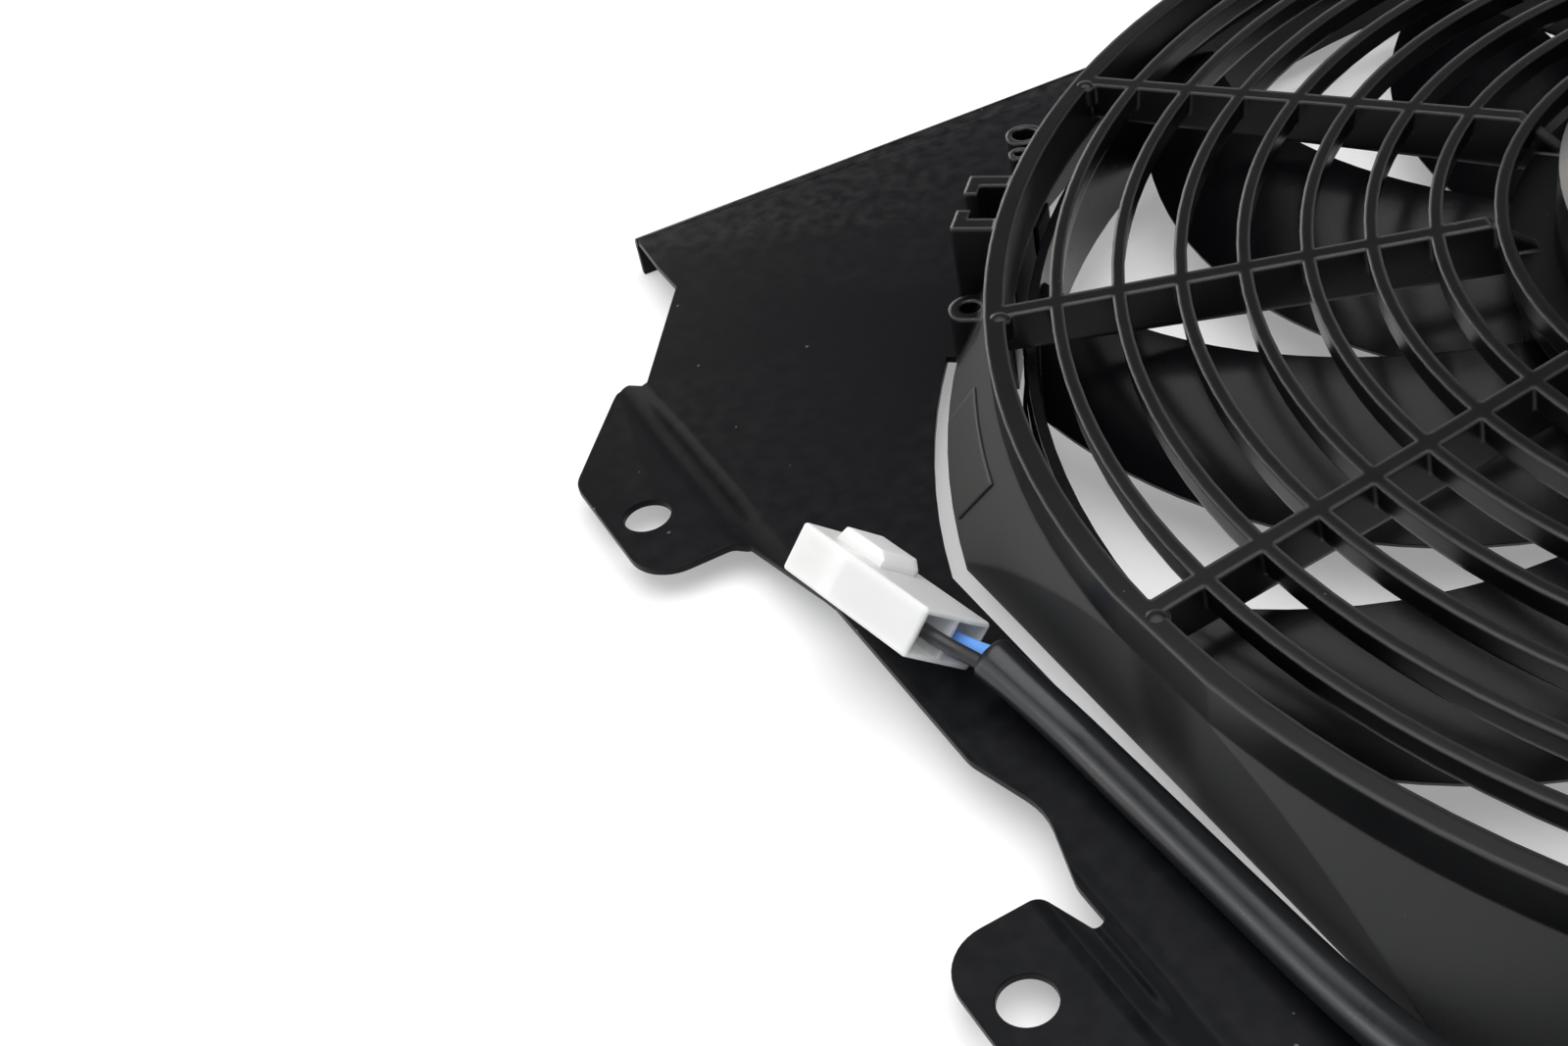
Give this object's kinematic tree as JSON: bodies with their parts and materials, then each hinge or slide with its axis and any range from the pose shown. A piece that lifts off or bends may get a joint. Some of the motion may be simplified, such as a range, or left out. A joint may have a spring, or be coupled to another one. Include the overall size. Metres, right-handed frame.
{
  "type": "radiator fan shroud",
  "caption": "Flat sheet shroud plate with joggled bolt tabs and turned flanges, carrying a guarded electric axial fan and its lead with a two-way connector",
  "frame": {"origin": "on the fan's axis at the level of the plate's flange edges, which is the middle of the bottom of the box round the object without its lead", "axes": "+Z along the fan's axis from the plate towards the guard, +X along the plate's straight bottom edge towards its right row of tabs, +Y towards the sloping top edge"},
  "size_m": [0.5112, 0.4896, 0.061],
  "materials": {
    "plate_paint": "satin black powder coat",
    "frame_plastic": "moulded black glass-filled nylon with a slight sheen",
    "rotor_plastic": "moulded black plastic, satin",
    "can_paint": "black painted drawn steel",
    "cap_metal": "zinc plated",
    "bearing_steel": "ground steel",
    "shaft_steel": "ground steel",
    "magnet_ferrite": "sintered ferrite",
    "card_laminate": "phenolic laminate",
    "carbon": "carbon block",
    "screw_zinc": "zinc plated",
    "grommet_rubber": "moulded rubber",
    "sleeve_black": "heat-shrink sleeve, satin black",
    "wire_black": "wire insulation, black",
    "wire_blue": "wire insulation, blue",
    "nylon_white": "natural white nylon, slightly translucent",
    "terminal_brass": "plain brass",
    "core_steel": "stacked steel laminations",
    "copper": "copper"
  },
  "bodies": {
    "shroud": {"shroud_plate": "plate_paint", "fan_frame": "frame_plastic", "motor_can": "can_paint", "motor_end_cap": "cap_metal", "bearing_front": "bearing_steel", "bearing_rear": "bearing_steel", "magnets": "magnet_ferrite", "brush_card": "card_laminate", "carbon_brushes": "carbon", "brush_springs": "bearing_steel", "motor_screws": "screw_zinc", "frame_screws": "screw_zinc", "frame_washers": "screw_zinc", "lead_grommet": "grommet_rubber", "lead_sleeve": "sleeve_black", "wire_black": "wire_black", "wire_blue": "wire_blue", "connector_housing": "nylon_white", "connector_terminals": "terminal_brass"},
    "rotor": {"fan_rotor": "rotor_plastic", "motor_shaft": "shaft_steel", "thrust_washers": "card_laminate", "commutator": "copper", "armature_core": "core_steel", "armature_coils": "copper", "hub_insert": "terminal_brass", "hub_washer": "screw_zinc", "hub_nut": "screw_zinc"}
  },
  "joints": [
    {"name": "fan_spin", "type": "hinge", "parent": "shroud", "child": "rotor", "pos_m": [0, 0, 0.03], "axis": [0, 0, 1], "continuous": true}
  ]
}
